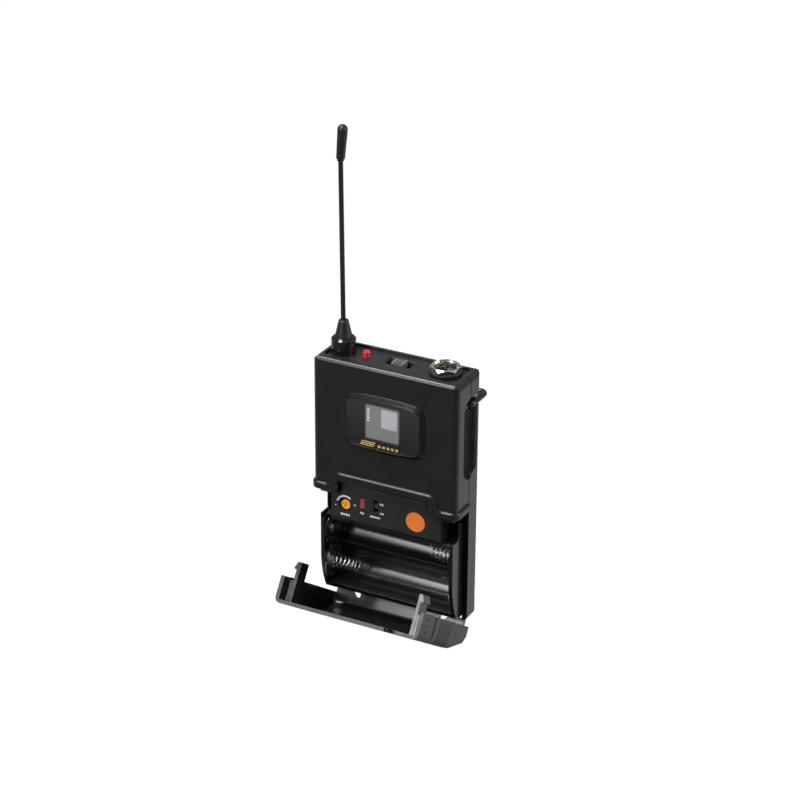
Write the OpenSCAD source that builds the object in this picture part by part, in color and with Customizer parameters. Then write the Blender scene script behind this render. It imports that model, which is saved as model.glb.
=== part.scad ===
// Wireless bodypack transmitter with an open battery door.
// Frame: X across the case (0 = mid width), Y from the front face (0) to the back,
// Z up from the underside of the case. Millimetres.

/* [Case] */
// Width of the case
body_w = 65; // [65:0.5:67]
// Height of the case without the antenna
body_h = 110; // [109.5:0.5:114]
// Depth of the case without the belt clip
body_d = 20.6; // [20.6:0.1:21.2]
// Radius of the upright edges
edge_r = 2.4; // [2:0.1:2.6]
// Depth of the top recess below the rim
recess_depth = 1.2; // [1:0.1:1.4]

/* [Battery bay] */
// Height of the lower cell axis
lower_cell_z = 13.5; // [13.4:0.1:13.6]
// Radius of the troughs that hold the cells
trough_r = 8.2; // [8:0.1:8.2]
// Free length of the contact springs
spring_len = 12; // [10:0.5:13]
// Number of turns in a contact spring
spring_turns = 6; // [4:1:7]

/* [Battery door] */
// Angle of the door away from closed
door_open = 56; // [0:1:86]
// Thickness of the door's plate
door_t = 1.5; // [1.4:0.1:1.5]
// Number of grip grooves on each side
grip_count = 5; // [3:1:6]

/* [Top] */
// Length of the antenna whip above its boot
whip_len = 69; // [40:1:90]
// Diameter of the antenna whip
whip_d = 2; // [1.8:0.1:2.2]
// Radius of the guide bore in the microphone jack
jack_r = 4.65; // [4.5:0.05:4.7]

/* [Belt clip] */
// Diameter of the clip wire
clip_wire_d = 2.8; // [2.5:0.1:2.8]
// Length of the clip loop below its pivot
clip_len = 58; // [45:1:70]
// Free gap between the clip and the case
clip_gap = 4.3; // [2.8:0.1:4.8]

/* [Hidden] */
$fn = 64;
wall = 1.8;
half_w = body_w / 2;
inner_x = half_w - wall;
inner_y = body_d - wall;
far = 60;

// Seam between the shells, seen as a groove from outside
front_end_y = 11.2;
rear_start_y = 11.7;
groove_depth = 0.9;

// Top recess and its panel
top_z = body_h - recess_depth;
panel_t = 1.6;
panel_z = top_z - panel_t;
ledge_z = panel_z - 1.8;
recess_x = half_w - 3.1;
recess_y0 = 3.2;
recess_y1 = body_d - 2.1;

// Arch opening of the front shell and the collar around it
arch_x = 21;
arch_z = 56.7;
lobe_z = 51;
lobe_h = 3.4;
band_out = 0.9;
band_w = 3.7;
band_r = 0.8;
band_bend = 3;
knee_r = 1.8;

// Side profile of the door: a slow bend, then a tight corner
bend_r = 48;
bend_z = 22;
corner_r = 5;
bend_angle = asin((bend_z - corner_r) / (bend_r - corner_r));
corner_y = bend_r - (bend_r - corner_r) * cos(bend_angle);
door_h = 50.7;
door_rim_y = 11.15;
door_side_t = 1.7;
tongue_x = 20.7;
tongue_z = 56.4;

// Battery bay
cell_y = 9.8;
cell_pitch = 15.7;
upper_cell_z = lower_cell_z + cell_pitch;
tray_x = half_w - 2.2;
bay_x = 28.6;
tray_front = 2.1;
tray_back = 18.7;
tray_bottom = 2;
tray_heel_z = 3.2;
tray_heel_y = 14.4;
tray_roof = 38.7;
ridge_y = cell_y + 3.3;
block_x = 25.4;
block_t = 1.2;
block_z = 59;
block_y = 8.9;
shelf_z = 49;
contact_t = 0.3;
contact_r = 7.2;
button_r = 2.4;
spring_wire_r = 0.32;
spring_base_r = 3;
spring_tip_r = 2.2;

// Door hinge and hooks
hinge_y = 18.2;
hinge_z = 1.3;
lug_y = 15;
lug_z = 3.1;
floor_y = 14.4;
floor_x = 30.2;
pin_r = 0.7;
pin_fit = 0.02;
run_fit = 0.06;
knuckle_r = 1.3;
arm_x0 = 12.8;
arm_x1 = 18.6;
hook_x0 = 26.8;
hook_x1 = 28.3;
hook_barb = 1.1;
hook_z0 = door_h - 10.5;
hook_z1 = door_h - 3.5;
hook_y = 18.2;
pocket_x = 29.6;
pocket_r = hook_z0 - hinge_z - 0.4;

// Control panel
label_x = 24.9;
label_y = 1.75;
label_t = 0.35;
label_z0 = 39.1;
label_z1 = 50;
label_top_x = 20.4;
label_top_z = 56.2;
pot_x = -18.5;
pot_z = 45.4;
rotor_r = 2.05;
ring_r = 2.75;
ir_x = -10.8;
ir_z = 47.7;
ir_w = 1.9;
ir_h = 4.4;
level_x = -4.5;
level_z = 48.1;
level_w = 2.2;
level_h = 5.3;
knob_h = 2.4;
marker_x = 13.5;
marker_z = 45.4;
marker_r = 4.3;

// Display pad
pad_z = 86.05;
pad_w = 36.6;
pad_h = 24.7;
pad_r = 4.8;
pad_out = 1.5;
pad_slope = 1.6;
pad_bow = 0.6;
pad_rim = 0.3;
window_t = 1.1;
lcd_x = -0.9;
lcd_z = 86.5;
lcd_w = 14.4;
lcd_h = 14.1;

// Top features
jack_x = 21.2;
jack_y = 11.6;
jack_wall = 0.75;
guide_depth = 0.8;
guide_step = 0.5;
jack_low_z = top_z - 11;
gasket_h = 1.6;
nut_h = 2.2;
nut_r = 6.65;
led_x = -14.2;
led_y = 11.8;
led_r = 1.6;
slot_x0 = -4.9;
slot_x1 = 6.1;
slot_y0 = 9.8;
slot_y1 = 15;
slider_x = 0.3;
slider_w = 5.2;
slider_out = 0.5;
antenna_x = -24.1;
antenna_y = 10.9;
collar_h = 7.1;
collar_r = 5;
collar_edge = 0.9;
boot_h = 7.1;
boot_r = 3.55;
whip_lean = 0.8;
tip_len = 14;
tip_r = 1.75;
tip_lean = 4.5;

// Circuit board
board_y = 9;
board_t = 1.2;
board_x = 23.8;
board_z0 = 39.6;
board_z1 = 93.5;
post_x = 20.5;
post_low_z = 63.5;
post_high_z = 90.3;
post_r = 2.3;

// Screws
screw_r = 1;
screw_fit = 0.03;
boss_r = 2.5;
screw_head_r = 1.9;
screw_spots = [[-28.6, 58.9], [28.6, 58.9], [-9, 101.6], [10.2, 101.6]];

// Belt clip and the scoops beside its pivot
clip_r = clip_wire_d / 2;
clip_pivot_y = 14;
clip_pivot_z = 96.9;
clip_bend = 1.6;
clip_arm_x = half_w - 1;
clip_back_y = body_d + clip_gap + clip_r;
clip_leg_x = 24;
clip_stub_x = 27.6;
channel_x = clip_arm_x - clip_r - 0.25;
backing_x = inner_x - 2.6;
bush_r = 2.3;
scoop_y = 11.7;
scoop_depth = 2;
scoop_half = 5.8;
scoop_z0 = 70.8;
scoop_z1 = 95.2;
scoop_r = (scoop_half * scoop_half + scoop_depth * scoop_depth) / (2 * scoop_depth);

// ---------- shared shapes ----------

module box(x0, x1, y0, y1, z0, z1) {
    translate([x0, y0, z0])
        cube([x1 - x0, y1 - y0, z1 - z0]);
}

module both_sides() {
    children();
    mirror([1, 0, 0])
        children();
}

// Extrudes a (Y, Z) outline along X
module along_x(x0, x1) {
    translate([x0, 0, 0])
        rotate([90, 0, 90])
            linear_extrude(x1 - x0)
                children();
}

// Extrudes an (X, Z) outline along Y
module along_y(y0, y1) {
    translate([0, y1, 0])
        rotate([90, 0, 0])
            linear_extrude(y1 - y0)
                children();
}

module along_z(z0, z1) {
    translate([0, 0, z0])
        linear_extrude(z1 - z0)
            children();
}

module rod_x(x0, x1, y, z, r) {
    translate([x0, y, z])
        rotate([0, 90, 0])
            cylinder(r = r, h = x1 - x0);
}

module rod_y(x, y0, y1, z, r) {
    translate([x, y1, z])
        rotate([90, 0, 0])
            cylinder(r = r, h = y1 - y0);
}

module rod_z(x, y, z0, z1, r) {
    translate([x, y, z0])
        cylinder(r = r, h = z1 - z0);
}

// Extrudes an outline given as (across, outward), starting at the origin point
module sweep(origin, across, out, len) {
    along = cross(across, out);
    multmatrix([[across[0], out[0], along[0], origin[0]],
        [across[1], out[1], along[1], origin[1]],
        [across[2], out[2], along[2], origin[2]]])
        linear_extrude(len)
            children();
}

// Waste outside a quarter circle at the corner (x, y); sx and sy point into the shape
module corner_waste(x, y, sx, sy, r) {
    difference() {
        translate([x + sx * (r - 1) / 2, y + sy * (r - 1) / 2])
            square(r + 1, center = true);
        translate([x + sx * r, y + sy * r])
            circle(r);
    }
}

// Rectangle with its own radius at each corner: low left, low right, high right, high left
module soft_rect(x0, y0, x1, y1, radii) {
    difference() {
        translate([x0, y0])
            square([x1 - x0, y1 - y0]);
        if (radii[0] > 0) corner_waste(x0, y0, 1, 1, radii[0]);
        if (radii[1] > 0) corner_waste(x1, y0, -1, 1, radii[1]);
        if (radii[2] > 0) corner_waste(x1, y1, -1, -1, radii[2]);
        if (radii[3] > 0) corner_waste(x0, y1, 1, -1, radii[3]);
    }
}

module round_rect(w, h, r) {
    soft_rect(-w / 2, -h / 2, w / 2, h / 2, [r, r, r, r]);
}

function unit(v) = v / norm(v);
function other_axis(d) = abs(d[2]) > 0.9 ? [1, 0, 0] : [0, 0, 1];

// Straight round bar between two points
module bar(a, b, r) {
    d = unit(b - a);
    u = unit(cross(other_axis(d), d));
    v = cross(d, u);
    multmatrix([[u[0], v[0], d[0], a[0]], [u[1], v[1], d[1], a[1]], [u[2], v[2], d[2], a[2]]])
        cylinder(r = r, h = norm(b - a));
}

// Quarter bend of a round bar at the corner p, from direction d1 to direction d2
module elbow(p, d1, d2, bend, r) {
    c = p - d1 * bend + d2 * bend;
    n = cross(d1, d2);
    multmatrix([[-d2[0], d1[0], n[0], c[0]],
        [-d2[1], d1[1], n[1], c[1]],
        [-d2[2], d1[2], n[2], c[2]]])
        rotate_extrude(angle = 90)
            translate([bend, 0])
                circle(r);
}

// Round wire through square corners, with a bend radius for every point
module wire(points, bends, r) {
    last = len(points) - 1;
    for (i = [0:last - 1]) {
        d = unit(points[i + 1] - points[i]);
        bar(points[i] + d * bends[i], points[i + 1] - d * bends[i + 1], r);
    }
    for (i = [1:last - 1])
        elbow(points[i], unit(points[i] - points[i - 1]), unit(points[i + 1] - points[i]), bends[i], r);
}

// Screw whose head starts at y and whose shaft runs along Y (side = 1) or against it (side = -1)
module screw(x, y, z, side, head_h, len) {
    translate([x, y, z])
        rotate([-90 * side, 0, 0])
            difference() {
                union() {
                    cylinder(r = screw_head_r, h = head_h);
                    cylinder(r = screw_r - screw_fit, h = head_h + len);
                }
                for (a = [0, 90])
                    rotate([0, 0, a])
                        cube([0.5, 2.4, 1.2], center = true);
            }
}

// ---------- case shells ----------

module case_form() {
    intersection() {
        along_z(0, body_h)
            translate([0, body_d / 2])
                round_rect(body_w, body_d, edge_r);
        along_x(-far, far)
            soft_rect(0, 0, body_d, body_h, [0, 3, 1.5, 1.5]);
        along_y(-1, body_d + 1)
            soft_rect(-half_w, 0, half_w, body_h, [1.5, 1.5, 3, 3]);
    }
}

module case_cavity(z0) {
    along_z(z0, ledge_z)
        soft_rect(-inner_x, wall, inner_x, inner_y, [0.5, 0.5, 0.5, 0.5]);
}

module recess_plan(margin) {
    soft_rect(-recess_x + margin, recess_y0 + margin, recess_x - margin, recess_y1 - margin,
        [2.5, 2.5, 2.5, 2.5]);
}

module recess_cut() {
    along_z(panel_z, body_h + 1)
        recess_plan(0);
    along_z(ledge_z - 1, panel_z + 0.1)
        recess_plan(1.2);
}

module scoop_cut() {
    both_sides()
        translate([half_w - scoop_depth + scoop_r, scoop_y, 0]) {
            rod_z(0, 0, scoop_z0, scoop_z1, scoop_r);
            translate([0, 0, scoop_z0])
                sphere(scoop_r);
            translate([0, 0, scoop_z1])
                sphere(scoop_r);
        }
}

// Thicker wall behind the scoops, which also carries the clip pivot
module scoop_backing(y0, y1) {
    both_sides()
        box(backing_x, inner_x + 0.4, y0, y1, 63, 104);
}

// Cross-section of the raised collar: across, then outward
module band_section(w) {
    soft_rect(-w / 2, -1, w / 2, band_out, [0, 0, band_r, band_r]);
}

module raised_collar() {
    bar_x = arch_x + band_w / 2;
    bar_z = arch_z + band_w / 2;
    lobe_mid = lobe_z + lobe_h / 2;
    knee_x = arch_x + band_w + knee_r;
    knee_z = lobe_z + lobe_h + knee_r;
    sweep([band_bend - bar_x, 0, bar_z], [0, 0, 1], [0, -1, 0], 2 * (bar_x - band_bend))
        band_section(band_w);
    both_sides() {
        translate([bar_x - band_bend, 0, bar_z - band_bend])
            rotate([90, 0, 0])
                rotate_extrude(angle = 90)
                    translate([band_bend, 0])
                        band_section(band_w);
        sweep([bar_x, 0, lobe_z], [-1, 0, 0], [0, -1, 0], bar_z - band_bend - lobe_z)
            band_section(band_w);
        sweep([arch_x, 0, lobe_mid], [0, 0, 1], [0, -1, 0], half_w - edge_r - arch_x)
            band_section(lobe_h);
        translate([half_w - edge_r, edge_r, lobe_mid])
            rotate([0, 0, -90])
                rotate_extrude(angle = 90)
                    translate([edge_r, 0])
                        rotate(-90)
                            band_section(lobe_h);
        sweep([half_w, edge_r, lobe_mid], [0, 0, 1], [1, 0, 0], front_end_y - edge_r)
            band_section(lobe_h);
        translate([knee_x, 0, knee_z])
            rotate([90, 180, 0])
                rotate_extrude(angle = 90)
                    soft_rect(knee_r, -1, knee_r + 1.6, band_out, [0, 0, 0, band_r]);
    }
}

module front_shell() {
    color([0.13, 0.13, 0.14])
        difference() {
            union() {
                difference() {
                    intersection() {
                        case_form();
                        box(-far, far, -1, front_end_y, lobe_z, body_h + 1);
                    }
                    case_cavity(0);
                }
                raised_collar();
                scoop_backing(4.5, front_end_y);
                for (s = screw_spots)
                    rod_y(s[0], wall - 0.4, front_end_y, s[1], boss_r);
            }
            recess_cut();
            scoop_cut();
            box(-arch_x, arch_x, -2, wall + 1, lobe_z - 1, arch_z);
            box(-13.5, 13.5, -1, wall + 1, pad_z - 9.5, pad_z + 9.5);
            for (s = screw_spots)
                rod_y(s[0], 3.5, front_end_y + 1, s[1], screw_r);
        }
}

module rear_shell() {
    color([0.14, 0.14, 0.15])
        difference() {
            union() {
                difference() {
                    union() {
                        intersection() {
                            case_form();
                            box(-far, far, rear_start_y, body_d + 1, -1, body_h + 1);
                        }
                        along_y(front_end_y, rear_start_y + 0.2)
                            soft_rect(-half_w + groove_depth, lobe_z + 0.4,
                                half_w - groove_depth, body_h - groove_depth, [0, 0, 2.2, 2.2]);
                    }
                    case_cavity(wall);
                }
                scoop_backing(front_end_y, inner_y + 0.2);
                for (s = screw_spots)
                    rod_y(s[0], front_end_y, inner_y + 0.2, s[1], boss_r);
                for (x = [-post_x, post_x])
                    for (z = [post_low_z, post_high_z])
                        rod_y(x, board_y + board_t, inner_y + 0.2, z, post_r);
                both_sides() {
                    hinge_lug(arm_x0 - 2.3, arm_x0 - 0.3);
                    hinge_lug(arm_x1 + 0.3, arm_x1 + 2.3);
                }
            }
            recess_cut();
            scoop_cut();
            clip_channel();
            hinge_notches();
            both_sides() {
                rod_x(backing_x - 1, channel_x + 1, clip_pivot_y, clip_pivot_z, bush_r);
                rod_x(arm_x0 - 2, arm_x1 + 2, hinge_y, hinge_z, pin_r + pin_fit);
            }
            for (s = screw_spots) {
                rod_y(s[0], front_end_y - 1, body_d + 1, s[1], screw_r + 0.15);
                rod_y(s[0], 17.6, body_d + 1, s[1], screw_head_r + 0.2);
            }
            for (x = [-post_x, post_x])
                for (z = [post_low_z, post_high_z])
                    rod_y(x, board_y, 17.5, z, screw_r);
            // Groove for the battery leads
            box(0.2, 4.4, inner_y - 1, inner_y + 0.9, 19.4, 63);
            // Shallow field for a rating plate between the clip legs
            along_y(body_d - 0.3, body_d + 1)
                translate([0, 24])
                    round_rect(34, 22, 1.5);
        }
}

// Lug that keeps the rear lower rounding of the case
module hinge_lug(x0, x1) {
    intersection() {
        box(x0, x1, lug_y, body_d, 0, lug_z);
        case_form();
    }
}

module hinge_notches() {
    both_sides()
        box(arm_x0 - 0.3, arm_x1 + 0.3, front_end_y - 1, body_d + 1, -1, 2.95);
    box(-floor_x, floor_x, front_end_y - 1, floor_y, -1, wall + 0.5);
    along_z(-1, wall + 0.5)
        polygon([[-7.4, front_end_y - 1], [7.4, front_end_y - 1], [6, 14.6], [-6, 14.6]]);
}

module clip_channel() {
    both_sides()
        box(channel_x, half_w + 1, scoop_y, body_d + 1,
            clip_pivot_z - clip_r - 0.3, clip_pivot_z + clip_r + 2);
}

module top_panel() {
    color([0.2, 0.2, 0.21])
        difference() {
            along_z(panel_z, top_z)
                recess_plan(0.08);
            rod_z(antenna_x, antenna_y, panel_z - 1, top_z + 1, 2.6);
            rod_z(jack_x, jack_y, panel_z - 1, top_z + 1, jack_r + jack_wall + 0.1);
            rod_z(led_x, led_y, panel_z - 1, top_z + 1, led_r + 0.1);
            along_z(panel_z - 1, top_z + 1)
                soft_rect(slot_x0, slot_y0, slot_x1, slot_y1, [0.4, 0.4, 0.4, 0.4]);
            // Shallow dish around the switch
            along_z(top_z - 0.3, top_z + 1)
                soft_rect(slot_x0 - 0.7, slot_y0 - 0.6, slot_x1 + 0.7, slot_y1 + 0.6,
                    [0.9, 0.9, 0.9, 0.9]);
        }
}

// ---------- battery bay ----------

// Side view of the door: everything deeper than t below its outer surface
module door_outline(t, y1, z1) {
    tangent_z = bend_z - (bend_r - t) * sin(bend_angle);
    difference() {
        translate([t, t])
            square([y1 - t, z1 - t]);
        difference() {
            translate([t - 1, t - 1])
                square([7, bend_z - t + 1]);
            translate([bend_r, bend_z])
                circle(bend_r - t, $fn = 256);
        }
        difference() {
            translate([t - 1, t - 1])
                square([corner_y - t + 1, tangent_z - t + 1]);
            translate([corner_y, corner_r])
                circle(corner_r - t);
        }
    }
}

// Waste along the door's side edge where its outline faces down by the angle a
module edge_waste(centre_y, centre_z, radius, a, length, slack) {
    translate([0, centre_y, centre_z])
        rotate([a, 0, 0])
            along_z(-length, length)
                corner_waste(half_w + slack, -radius - slack, -1, 1, edge_r);
}

module door_solid() {
    difference() {
        along_x(-half_w, half_w)
            door_outline(0, door_rim_y, door_h);
        both_sides() {
            edge_waste(0, 0, 0, 0, far, 0);
            edge_waste(bend_r, bend_z, bend_r, 15, 30, 0.06);
            edge_waste(corner_y, corner_r, corner_r, 50, 10, 0.05);
            edge_waste(corner_y, corner_r, corner_r, 90, 12, 0);
        }
    }
}

module cell_troughs(x) {
    rod_x(-x, x, cell_y, lower_cell_z, trough_r);
    rod_x(-x, x, cell_y, upper_cell_z, trough_r);
    box(-x, x, -1, cell_y, lower_cell_z - trough_r, upper_cell_z + trough_r);
    box(-x, x, cell_y - 0.1, ridge_y, lower_cell_z, upper_cell_z);
}

// Path swept by the door's hooks
module hook_sweep() {
    both_sides()
        difference() {
            rod_x(block_x, pocket_x, hinge_y, hinge_z, 49.5);
            rod_x(block_x - 1, pocket_x + 1, hinge_y, hinge_z, pocket_r);
            box(0, far, tray_back - 0.1, far, -far, far);
            box(0, far, -far, far, -far, 30);
        }
}

module battery_tray() {
    color([0.08, 0.08, 0.09])
        difference() {
            union() {
                intersection() {
                    union() {
                        box(-tray_x, tray_x, tray_front, tray_back, tray_heel_z, tray_roof);
                        box(-tray_x, tray_x, tray_front, tray_heel_y, tray_bottom, lower_cell_z);
                    }
                    along_x(-far, far)
                        door_outline(door_t + 0.45, far, far);
                }
                box(-block_x, block_x, tray_front, block_y, tray_roof - 1, block_z);
                both_sides() {
                    box(block_x - block_t, block_x, tray_front, tray_back, tray_roof - 1, 50.4);
                    box(block_x - 1, tray_x, tray_front, tray_back, shelf_z, 50.4);
                    box(pocket_x, tray_x, 7.8, tray_back, tray_roof - 1, 46);
                }
            }
            cell_troughs(bay_x);
            hook_sweep();
            // Hollow behind the control panel
            box(-block_x + block_t, block_x - block_t, tray_front + 1.4, block_y + 1,
                tray_roof, block_z - block_t);
            rod_y(pot_x, 0, 5, pot_z, ring_r + 0.08);
            box(ir_x - ir_w / 2 - 0.1, ir_x + ir_w / 2 + 0.1, 0, 5, ir_z - ir_h / 2 - 0.1,
                ir_z + ir_h / 2 + 0.1);
            box(level_x - level_w / 2, level_x + level_w / 2, 0, 5, level_z - level_h / 2,
                level_z + level_h / 2);
            // Channel and slots for the contact tabs and leads
            box(0.4, bay_x + 0.2, 15.6, tray_back + 1, 19.7, 23);
            box(bay_x - contact_t - 0.1, bay_x + 0.2, ridge_y - 1, 16.6, 18.8, 23.9);
            trough_marks();
        }
}

// Plus and minus marks sunk in the troughs, drawn as plain bars
module trough_marks() {
    for (s = [[-1, upper_cell_z], [1, lower_cell_z]])
        intersection() {
            difference() {
                rod_x(-bay_x, bay_x, cell_y, s[1], trough_r + 0.3);
                rod_x(-bay_x - 1, bay_x + 1, cell_y, s[1], trough_r - 0.1);
            }
            union() {
                box(s[0] * 20 - 2.5, s[0] * 20 + 2.5, cell_y, tray_back, s[1] - 0.4, s[1] + 0.4);
                box(s[0] * 20 - 0.4, s[0] * 20 + 0.4, cell_y, tray_back, s[1] - 2.5, s[1] + 2.5);
                box(-s[0] * 20 - 2.5, -s[0] * 20 + 2.5, cell_y, tray_back, s[1] - 0.4, s[1] + 0.4);
            }
        }
}

// Plate at the end of a cell, with its face towards the bay's middle at x = 0
module contact_plate(z) {
    rod_x(0, contact_t, cell_y, z, contact_r);
}

module contact_button(z) {
    translate([0, cell_y, z])
        rotate([0, -90, 0])
            cylinder(r1 = button_r + 0.5, r2 = button_r, h = 0.8);
}

module bridge_contact() {
    color([0.75, 0.74, 0.7])
        mirror([1, 0, 0])
            translate([bay_x - contact_t, 0, 0]) {
                contact_plate(lower_cell_z);
                contact_plate(upper_cell_z);
                box(0, contact_t, 6.6, ridge_y - 0.2, lower_cell_z + 4, upper_cell_z - 4);
                contact_button(upper_cell_z);
            }
}

module positive_contact() {
    color([0.75, 0.74, 0.7])
        translate([bay_x - contact_t, 0, 0]) {
            contact_plate(lower_cell_z);
            box(0, contact_t, ridge_y - 3, 16.3, 19, 20.7);
            contact_button(lower_cell_z);
        }
}

module negative_contact() {
    color([0.75, 0.74, 0.7])
        translate([bay_x - contact_t, 0, 0]) {
            contact_plate(upper_cell_z);
            box(0, contact_t, ridge_y - 3, 16.3, 22, 23.7);
        }
}

// Half turn of a spring about X: from radius ra to radius rb, rising by rise along X
module half_turn(ra, rb, rise, flip) {
    tilt = atan(rise / (ra + rb));
    arc_r = norm([ra + rb, rise]) / 2;
    rotate([flip ? 180 : 0, 0, 0])
        translate([rise / 2, 0, (ra - rb) / 2])
            rotate([0, -tilt, 0])
                rotate([0, 0, 90])
                    rotate([90, 0, 0])
                        rotate([0, 0, 90])
                            rotate_extrude(angle = 180)
                                translate([arc_r, 0])
                                    circle(spring_wire_r, $fn = 24);
}

// Cone spring along +X from x = 0
module contact_spring(z) {
    halves = 2 * spring_turns;
    rise = (spring_len - 2 * spring_wire_r) / halves;
    fall = (spring_base_r - spring_tip_r) / halves;
    translate([spring_wire_r, cell_y, z])
        for (i = [0:halves - 1]) {
            ra = spring_base_r - i * fall;
            translate([i * rise, 0, 0]) {
                half_turn(ra, ra - fall, rise, i % 2 == 1);
                translate([0, 0, i % 2 == 1 ? -ra : ra])
                    sphere(spring_wire_r + 0.02, $fn = 24);
            }
        }
}

module upper_spring() {
    color([0.85, 0.84, 0.8])
        translate([bay_x - contact_t, 0, 0])
            mirror([1, 0, 0])
                contact_spring(upper_cell_z);
}

module lower_spring() {
    color([0.85, 0.84, 0.8])
        translate([contact_t - bay_x, 0, 0])
            contact_spring(lower_cell_z);
}

module battery_leads() {
    lead_r = 0.45;
    color([0.7, 0.1, 0.1])
        for (i = [0, 1]) {
            z = 20.4 + i * 1.9;
            x = 3.2 - i * 1.7;
            wire([[bay_x - 1, 16.7, z], [x, 16.7, z], [x, 19.15, z], [x, 19.15, 58 - i * 2],
                [x, board_y + board_t, 58 - i * 2]], [0, 1, 1, 1, 0], lead_r);
        }
}

// ---------- battery door ----------

// Turns the closed door's shape to the angle it is modelled at
module door_pose() {
    translate([0, hinge_y, hinge_z])
        rotate([door_open, 0, 0])
            translate([0, -hinge_y, -hinge_z])
                children();
}

module grip_grooves() {
    intersection() {
        along_z(15, 40)
            difference() {
                soft_rect(-half_w - 1, -1, half_w + 1, far, [0, 0, 0, 0]);
                soft_rect(0.4 - half_w, 0.4, half_w - 0.4, far, [edge_r - 0.4, edge_r - 0.4, 0, 0]);
            }
        both_sides()
            for (i = [0:grip_count - 1])
                translate([half_w, 5.2, door_h - 19.2 - 2.6 * i])
                    rotate([-10, 0, 0])
                        cube([4.6, 9.8, 0.6], center = true);
    }
}

module door_hook() {
    box(hook_x0, hook_x1, door_t - 0.2, hook_y, hook_z0, hook_z1);
    // Barb with a ramp towards its tip
    along_z(hook_z0, hook_z1)
        polygon([[hook_x0 + 0.5, hook_y - 3.2], [hook_x1 + hook_barb, hook_y - 3.2],
            [hook_x1 + hook_barb, hook_y - 2.4], [hook_x1, hook_y], [hook_x0 + 0.5, hook_y]]);
    // Web that ties the hook to the side wall
    box(hook_x0, half_w - 1, door_t - 0.2, door_rim_y - 1, hook_z1 - 0.5, hook_z1 - 0.05);
}

module hinge_arm() {
    difference() {
        union() {
            box(arm_x0, arm_x1, corner_y, hinge_y, 0, door_t);
            rod_x(arm_x0, arm_x1, hinge_y, hinge_z, knuckle_r);
        }
        rod_x(arm_x0 - 1, arm_x1 + 1, hinge_y, hinge_z, pin_r + run_fit);
    }
}

module battery_door() {
    color([0.16, 0.16, 0.17])
        door_pose()
            difference() {
                union() {
                    difference() {
                        door_solid();
                        along_x(door_side_t - half_w, half_w - door_side_t)
                            door_outline(door_t, door_rim_y + 1, door_h + 1);
                    }
                    along_y(0, door_t)
                        polygon([[-tongue_x, door_h - 1], [tongue_x, door_h - 1],
                            [tongue_x, tongue_z - 1.4], [tongue_x - 0.8, tongue_z - 1.4],
                            [tongue_x - 0.8, tongue_z], [0.8 - tongue_x, tongue_z],
                            [0.8 - tongue_x, tongue_z - 1.4], [-tongue_x, tongue_z - 1.4]]);
                    along_z(0, door_t)
                        polygon([[-7, door_rim_y - 0.5], [7, door_rim_y - 0.5],
                            [5.6, 14.25], [-5.6, 14.25]]);
                    both_sides()
                        along_z(0, door_t) {
                            polygon([[6, door_rim_y - 0.5], [arm_x0 + 0.2, door_rim_y - 0.5],
                                [arm_x0 + 0.2, floor_y - 0.4], [6, floor_y - 0.4]]);
                            polygon([[arm_x1 + 1.4, door_rim_y - 0.5], [floor_x - 0.5, door_rim_y - 0.5],
                                [floor_x - 0.5, floor_y - 0.4], [arm_x1 + 4.4, floor_y - 0.4]]);
                        }
                    both_sides() {
                        door_hook();
                        hinge_arm();
                        box(half_w - 1.3, half_w - 0.3, door_rim_y - 1, door_rim_y + 0.2,
                            door_h - 9.8, door_h - 8.2);
                    }
                }
                grip_grooves();
                both_sides() {
                    // Slot that frees the latch part of the side wall
                    box(half_w - 3, half_w + 1, 2.4, door_rim_y + 1, door_h - 14, door_h - 13.1);
                    for (y = [3.7, 6.4, 9.2])
                        rod_x(half_w - 0.3, half_w + 1, y, door_h - 5.5, 0.5);
                }
            }
}

module door_hinge_pins() {
    color([0.7, 0.7, 0.72])
        both_sides()
            rod_x(arm_x0 - 1.9, arm_x1 + 1.9, hinge_y, hinge_z, pin_r);
}

// ---------- control panel ----------

module control_panel() {
    color([0.18, 0.18, 0.19])
        difference() {
            along_y(label_y, label_y + label_t) {
                soft_rect(-label_x, label_z0, label_x, label_z1, [0.5, 0.5, 0.2, 0.2]);
                soft_rect(-label_top_x, label_z1 - 1, label_top_x, label_top_z, [0, 0, 2.2, 2.2]);
            }
            rod_y(pot_x, 0, 5, pot_z, ring_r + 0.08);
            box(ir_x - ir_w / 2 - 0.1, ir_x + ir_w / 2 + 0.1, 0, 5, ir_z - ir_h / 2 - 0.1,
                ir_z + ir_h / 2 + 0.1);
            box(level_x - level_w / 2, level_x + level_w / 2, 0, 5, level_z - level_h / 2,
                level_z + level_h / 2);
            rod_y(marker_x, 0, label_y + 0.15, marker_z, marker_r + 0.05);
        }
}

module channel_marker() {
    color([0.85, 0.45, 0.18])
        rod_y(marker_x, label_y - 0.05, label_y + 0.15, marker_z, marker_r);
}

module ir_window() {
    color([0.5, 0.12, 0.15])
        union() {
            along_y(label_y + 0.1, 4)
                translate([ir_x, ir_z])
                    round_rect(ir_w, ir_h, 0.25);
            box(ir_x - 1.6, ir_x + 1.6, 3.55, 4.1, ir_z - 2.9, ir_z + 2.9);
        }
}

module ir_receiver() {
    color([0.2, 0.2, 0.24])
        union() {
            box(ir_x - 1.5, ir_x + 1.5, 5.6, board_y, ir_z - 2.4, ir_z + 2.4);
            rod_y(ir_x, 4.9, 5.7, ir_z, 1.2);
            translate([ir_x, 4.9, ir_z])
                sphere(1.2 / sqrt(2));
        }
}

module gain_pot_body() {
    color([0.1, 0.1, 0.1])
        difference() {
            union() {
                box(pot_x - 3.2, pot_x + 3.2, 3.7, board_y, pot_z - 3.2, pot_z + 3.2);
                rod_y(pot_x, 2.3, 4, pot_z, ring_r);
            }
            rod_y(pot_x, 1, 3.4, pot_z, rotor_r + run_fit);
            rod_y(pot_x, 3, 6.1, pot_z, 1 + run_fit);
        }
}

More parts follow.
